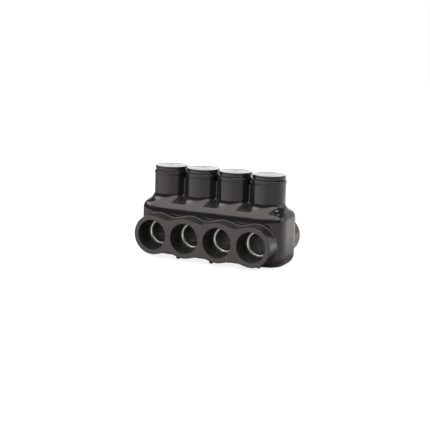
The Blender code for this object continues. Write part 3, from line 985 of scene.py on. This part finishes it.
def from_axes(tree, place):
    """How far a place is from the nearest port's middle along the row, and its Y and Z."""
    x, y, z = tree.outputs("ShaderNodeSeparateXYZ", i0=place)
    pitch = float(PORT_X[1] - PORT_X[0])
    return tree.math("SUBTRACT", tree.math("FLOORED_MODULO", x, pitch), pitch / 2), y, z


def from_bores(tree, place, bore_height):
    """A place's distance from the nearest bore's axis, and from the middle plane along it."""
    across, y, z = from_axes(tree, place)
    return tree.distance(across, tree.math("SUBTRACT", z, bore_height)), tree.math("ABSOLUTE", y)


def dusted(tree, place, base):
    """The base colour with dust on what faces up, and a mask of smears."""
    normal = tree.node("ShaderNodeNewGeometry", "True Normal")
    marks = effect(tree, "Handling Marks", Place=place, Normal=normal)
    return tree.mix_colour(tree.times(marks["Dust"], 0.12), base, DUST), marks["Smears"]


def cover_material(finishes, sizes):
    """Black plastisol: glossy dipped skin, dull faces on the collars, faint rings and painted shade in their
    throats.
    """
    material, tree, shader, place = new_material("black plastisol", 0.2)
    radius, depth = from_bores(tree, place, sizes.bore_height)
    face = tree.step(depth, FACE_Y - 0.16 * mm, FACE_Y - 0.03 * mm)
    throat = tree.times(
        tree.step(radius, sizes.mouth_radius + 0.25 * mm, sizes.mouth_radius + 0.1 * mm),
        tree.step(depth, BLOCK_HIGH[1] + 0.5 * mm, BLOCK_HIGH[1] + 0.8 * mm),
    )
    skin = effect(tree, "Moulded Skin", Place=place, Wave_Height=0.0002, Peel_Height=0.000004)
    rings = effect(tree, "Turning Rings", Place=place, Radius=depth, Spacing=0.0015)
    grain = tree.noise(place, 1100.0, 3.0, 0.7)
    dull = tree.mix_colour(grain, shade(finishes.face, 0.5), shade(finishes.face, 1.5))
    blotches = tree.noise(place, 140.0, 3.0)
    base = tree.mix_colour(blotches, shade(finishes.skin, 0.85), shade(finishes.skin, 1.2))
    # Painted shade: inside the collars' throats the skin colour is darkened to about a third.
    base = tree.mix_colour(throat, base, shade(finishes.skin, 0.35))
    base, smears = dusted(tree, place, tree.mix_colour(face, base, dull))
    gloss = tree.plus(tree.plus(0.17, smears, 0.08), skin["Specks"], 0.05)
    gloss = tree.mix(throat, gloss, 0.42)
    gloss = tree.mix(face, gloss, tree.plus(0.5, grain, 0.16))
    height = tree.mix(face, skin["Height"], tree.times(grain, 0.00003))
    height = tree.plus(height, tree.times(rings["Height"], 0.00012), throat)
    tree.fill(shader, Base_Color=base, Roughness=gloss, Normal=bump(tree, height))
    return material


def plug_material(finishes):
    """Black plug plastic with fine rings round each plug's own axis."""
    material, tree, shader, place = new_material("black plug plastic", 0.16)
    across, y, _ = from_axes(tree, place)
    rings = effect(tree, "Turning Rings", Place=place, Radius=tree.distance(across, y), Spacing=0.0005)
    skin = effect(tree, "Moulded Skin", Place=place, Wave_Height=0.00001, Peel_Height=0.000002)
    base = tree.mix_colour(rings["Tone"], shade(finishes.plug, 0.8), shade(finishes.plug, 1.3))
    base, smears = dusted(tree, place, base)
    gloss = tree.plus(tree.plus(0.12, smears, 0.08), skin["Specks"], 0.05)
    height = tree.plus(skin["Height"], rings["Height"], 0.000002)
    tree.fill(shader, Base_Color=base, Roughness=gloss, Normal=bump(tree, height))
    return material


def block_material(finishes, sizes, bore_height):
    """Machined aluminium: bright chamfers, and a yellow-green film of compound in the bores."""
    material, tree, shader, place = new_material("machined aluminium", 0.28, 1.0, 1.25)
    radius, depth = from_bores(tree, place, bore_height)
    facing = effect(tree, "Turning Rings", Place=place, Radius=radius, Spacing=0.00035)
    boring = effect(tree, "Turning Rings", Place=place, Radius=depth, Spacing=0.0008)
    start = BLOCK_HIGH[1] - sizes.chamfer_depth
    mouth = sizes.bore_radius + sizes.chamfer_width
    bore = tree.times(
        tree.step(radius, sizes.bore_radius + 2.5 * mm, sizes.bore_radius + 2.0 * mm),
        tree.step(depth, start - 0.7 * mm, start - 1.3 * mm),
    )
    rim = tree.step(radius, mouth + 0.02 * mm, mouth + 0.1 * mm)
    film = tree.times(tree.step(tree.noise(place, 240.0, 4.0, 0.6), 0.22, 0.36), bore)
    film = tree.math("MAXIMUM", film, rim)
    metal = tree.mix_colour(facing["Tone"], shade(finishes.metal, 0.85), finishes.metal)
    thick = tree.mix_colour(
        tree.noise(place, 420.0, 3.0), shade(finishes.compound, 0.1), shade(finishes.compound, 2.4)
    )
    lines = tree.times(tree.mix(bore, facing["Height"], boring["Height"]), 0.000012)
    blobs = tree.times(tree.noise(place, 330.0, 3.0), 0.0008)
    tree.fill(
        shader, Base_Color=tree.mix_colour(film, metal, thick), Metallic=tree.mix(film, 1.0, 0.0),
        Roughness=tree.mix(film, tree.plus(0.2, facing["Tone"], 0.12), 0.55),
        Normal=bump(tree, tree.plus(lines, blobs, film)),
    )
    return material


def screw_material(finishes):
    """Turned aluminium of the set screws, with painted shade on their points: the compound's dark colour,
    dull and not metallic.
    """
    material, tree, shader, place = new_material("turned aluminium", 0.3, 1.0)
    across, y, z = from_axes(tree, place)
    rings = effect(tree, "Turning Rings", Place=place, Radius=tree.distance(across, y), Spacing=0.0003)
    smears = effect(tree, "Handling Marks", Place=place)["Smears"]
    base = tree.mix_colour(rings["Tone"], shade(finishes.metal, 0.75), finishes.metal)
    base = tree.mix_colour(tree.times(smears, 0.4), base, shade(finishes.metal, 0.5))
    # Painted shade: below the top of the point the screw takes the dark compound colour and loses its metal,
    # so no glint shows in the bores.
    darkened_points = tree.step(z, 31.5 * mm, 30.5 * mm)
    tree.fill(
        shader, Base_Color=tree.mix_colour(darkened_points, base, finishes.compound), Metallic=tree.mix(darkened_points, 1.0, 0.0),
        Roughness=tree.math("MAXIMUM", tree.plus(0.24, smears, 0.2), tree.times(darkened_points, 0.5)),
        Normal=bump(tree, tree.times(rings["Height"], 0.000008)),
    )
    return material


# Stage

def ray_kinds(tree):
    """Masks of the rays that see the surround itself, by camera or through glass, and of mirror rays."""
    path = tree.outputs("ShaderNodeLightPath")
    return tree.math("MAXIMUM", path["Is Camera Ray"], path["Is Transmission Ray"]), path["Is Glossy Ray"]


def make_floor():
    """A pale floor that keeps the shadow and fades, with the distance from the object, into a white surround.

    Mirror rays see it dark at the back left and close under the object, and white at the right end. The
    masks' limits are places on it, in metres."""
    half = 3.0
    below = -0.2 * mm
    corners = [(-half, -half, below), (half, -half, below), (half, half, below), (-half, half, below)]
    mesh = bpy.data.meshes.new("floor")
    mesh.from_pydata(corners, [], [(0, 1, 2, 3)])
    material = bpy.data.materials.new("white floor")
    material.use_nodes = True
    material.node_tree.nodes.clear()
    tree = Tree(material.node_tree)
    place = tree.node("ShaderNodeTexCoord", "Object")
    x, y, _ = tree.outputs("ShaderNodeSeparateXYZ", i0=place)
    far = tree.step(tree.node("ShaderNodeVectorMath", 1, operation="LENGTH", i0=place), 0.3, 0.7)
    behind = tree.step(y, -0.1, 0.35)
    beside = tree.step(x, -0.2, 0.2)
    far_left = tree.times(far, tree.math("SUBTRACT", 1.0, beside))
    mirrored = tree.mix(tree.math("MAXIMUM", far_left, behind), tree.mix(beside, 1.0, 0.4), 1.0)
    dim = tree.times(tree.step(y, -0.15, 0.0), tree.step(x, 0.12, 0.0))
    strip = tree.times(
        tree.step(tree.plus(y, x, 0.9), 0.14, 0.25), tree.step(x, 0.07, 0.11),
        tree.step(tree.plus(x, y, -0.35), 0.26, 0.18), tree.step(y, 0.42, 0.28),
    )
    under = tree.times(
        tree.step(y, -0.125, -0.1), tree.step(tree.math("ABSOLUTE", x), 0.1, 0.075), tree.step(y, 0.06, 0.03)
    )
    for mask, strength in ((dim, 0.1), (strip, 1.0), (under, 0.0)):
        mirrored = tree.mix(mask, mirrored, strength)
    seen, glossy = ray_kinds(tree)
    glow = tree.node(
        "ShaderNodeEmission", Color=tree.mix_colour(glossy, WHITE, WARM_WHITE),
        Strength=tree.plus(tree.times(seen, tree.mix(far, 0.86, 1.0)), glossy, mirrored),
    )
    grey = tree.mix_colour(far, shade(WHITE, 0.32), shade(WHITE, 0.2))
    both = tree.node("ShaderNodeAddShader", i0=tree.node("ShaderNodeBsdfDiffuse", Color=grey), i1=glow)
    tree.outputs("ShaderNodeOutputMaterial", Surface=both)
    mesh.materials.append(material)
    floor = new_object("floor", mesh)
    return floor


def make_world():
    """A dark studio with a white sweep low behind the object, as mirrors see it, and dim to everything else.

    A mirror ray of direction d meets the sweep where d.y is high, d.z low and d.x not far to the left; the
    camera sees white."""
    world = bpy.data.worlds.new("studio")
    world.use_nodes = True
    tree = Tree(world.node_tree)
    seen, glossy = ray_kinds(tree)
    x, y, z = tree.outputs("ShaderNodeSeparateXYZ", i0=tree.node("ShaderNodeTexCoord", "Generated"))
    sweep = tree.times(tree.step(y, 0.1, 0.5), tree.step(z, 0.55, 0.35), tree.step(x, -0.75, -0.5))
    mirrored = tree.mix_colour(sweep, (0.075, 0.08, 0.11), shade(WHITE, 0.8))
    colour = tree.mix_colour(glossy, shade(WHITE, 0.3), mirrored)
    tree.fill(world.node_tree.nodes["Background"].inputs, Color=tree.mix_colour(seen, colour, WHITE))
    bpy.context.scene.world = world


MIDDLE = (0.0, 0.0, 0.03)

# Name, place, target, width, height, radiance and colour of each lamp
LAMPS = (
    ("overhead", (-0.1, -0.82, 1.0), (-0.1, -0.82, 0.0), 2.8, 1.5, 2.8, WARM_WHITE),
    ("back panel", (-0.6, 1.3, 0.42), MIDDLE, 1.5, 0.7, 0.9),
    ("right panel", (1.1, 0.3, 0.4), MIDDLE, 0.9, 0.7, 1.2),
    ("left softbox", (-1.25, -0.3, 0.88), MIDDLE, 1.3, 0.55, 2.2),
    ("right softbox", (1.25, -0.45, 0.88), MIDDLE, 1.1, 0.55, 2.0),
    ("back spot", (0.28, 1.33, 0.63), MIDDLE, 0.12, 0.12, 25.0),
    ("top spot", (0.37, 0.41, 1.18), MIDDLE, 0.11, 0.11, 30.0),
)


def softbox(name, place, target, width, height, radiance, colour=WHITE):
    """A rectangular lamp that looks at the target and shines with the given radiance."""
    lamp = bpy.data.lights.new(name, "AREA")
    lamp.color = colour
    lamp.shape = "RECTANGLE"
    lamp.size = width
    lamp.size_y = height
    lamp.energy = radiance * width * height * math.pi
    made = bpy.data.objects.new(name, lamp)
    made.location = place
    made.rotation_euler = (Vector(target) - Vector(place)).to_track_quat("-Z", "Y").to_euler()
    made.visible_camera = False
    bpy.context.scene.collection.objects.link(made)


def make_camera(settings):
    """The camera of the photograph, turned a little round its own axis."""
    a, e, r = settings.azimuth, settings.elevation, settings.roll
    back = Vector((math.sin(a) * math.cos(e), -math.cos(a) * math.cos(e), math.sin(e)))
    level = Vector((math.cos(a), math.sin(a), 0.0))
    up = back.cross(level)
    right = math.cos(r) * level + math.sin(r) * up
    above = math.cos(r) * up - math.sin(r) * level
    turn = Matrix((right, above, back)).transposed().to_4x4()
    turn.translation = Vector((settings.target_x, 0.0, settings.target_z)) + back * settings.distance
    lens = bpy.data.cameras.new("camera")
    lens.lens = settings.lens
    lens.sensor_width = 36.0
    lens.clip_start = 0.01
    made = bpy.data.objects.new("camera", lens)
    made.matrix_world = turn
    bpy.context.scene.collection.objects.link(made)
    bpy.context.scene.camera = made


# Operators

class CONNECTOR_OT_cover(Operator):
    """Build the moulded plastisol cover"""

    bl_idname = "connector.cover"
    bl_label = "Moulded Cover"

    def execute(self, context):
        sizes = context.scene.connector_cover
        cover = make_cover(sizes, cover_material(context.scene.connector_finishes, sizes))
        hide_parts("insulating_cover")
        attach(cover, "connector")
        return {"FINISHED"}


class CONNECTOR_OT_block(Operator):
    """Build the drilled and tapped aluminium block"""

    bl_idname = "connector.block"
    bl_label = "Aluminium Block"

    def execute(self, context):
        scene = context.scene
        bore_height = scene.connector_cover.bore_height
        material = block_material(scene.connector_finishes, scene.connector_block, bore_height)
        block = make_block(scene.connector_block, bore_height, material)
        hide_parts("connector_block")
        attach(block, "connector")
        return {"FINISHED"}


class CONNECTOR_OT_screws(Operator):
    """Build the four set screws"""

    bl_idname = "connector.screws"
    bl_label = "Set Screws"

    def execute(self, context):
        scene = context.scene
        material = screw_material(scene.connector_finishes)
        for number in PORTS:
            screw = make_screw(number, scene.connector_screws, scene.connector_block, material)
            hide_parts(f"set_screw_{number}")
            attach(screw, f"screw_{number}")
        return {"FINISHED"}


class CONNECTOR_OT_plugs(Operator):
    """Build the four push-in access plugs"""

    bl_idname = "connector.plugs"
    bl_label = "Access Plugs"

    def execute(self, context):
        scene = context.scene
        material = plug_material(scene.connector_finishes)
        for number in PORTS:
            plug = make_plug(number, scene.connector_plugs, material)
            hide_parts(f"access_plug_{number}")
            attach(plug, f"plug_{number}")
        return {"FINISHED"}


class CONNECTOR_OT_stage(Operator):
    """Set up the floor, lamps and camera"""

    bl_idname = "connector.stage"
    bl_label = "Studio Stage"

    def execute(self, context):
        context.scene.view_settings.view_transform = "Standard"
        make_floor()
        make_world()
        for lamp in LAMPS:
            softbox(*lamp)
        make_camera(context.scene.connector_stage)
        return {"FINISHED"}


class CONNECTOR_PT_panel(Panel):
    """Lists the connector's sizes, colours and builders"""

    bl_idname = "CONNECTOR_PT_panel"
    bl_label = "Cable Connector"
    bl_space_type = "VIEW_3D"
    bl_region_type = "UI"
    bl_category = "Connector"

    def draw(self, context):
        layout = self.layout
        for builder in BUILDERS:
            layout.operator(builder.bl_idname)
        for name, group in GROUPS.items():
            box = layout.box()
            box.label(text=group.__doc__)
            for key in group.__annotations__:
                box.prop(getattr(context.scene, name), key)


GROUPS = {
    "connector_cover": CoverSizes,
    "connector_block": BlockSizes,
    "connector_screws": ScrewSizes,
    "connector_plugs": PlugSizes,
    "connector_finishes": Finishes,
    "connector_stage": StageSettings,
}
BUILDERS = (
    CONNECTOR_OT_stage,
    CONNECTOR_OT_cover,
    CONNECTOR_OT_block,
    CONNECTOR_OT_screws,
    CONNECTOR_OT_plugs,
)


def register():
    for name, group in GROUPS.items():
        bpy.utils.register_class(group)
        setattr(bpy.types.Scene, name, PointerProperty(type=group))
    for builder in (*BUILDERS, CONNECTOR_PT_panel):
        bpy.utils.register_class(builder)


def unregister():
    for builder in (CONNECTOR_PT_panel, *reversed(BUILDERS)):
        bpy.utils.unregister_class(builder)
    for name, group in reversed(GROUPS.items()):
        delattr(bpy.types.Scene, name)
        bpy.utils.unregister_class(group)


def main():
    register()
    for builder in BUILDERS:
        group, name = builder.bl_idname.split(".")
        getattr(getattr(bpy.ops, group), name)()


if __name__ == "__main__":
    main()
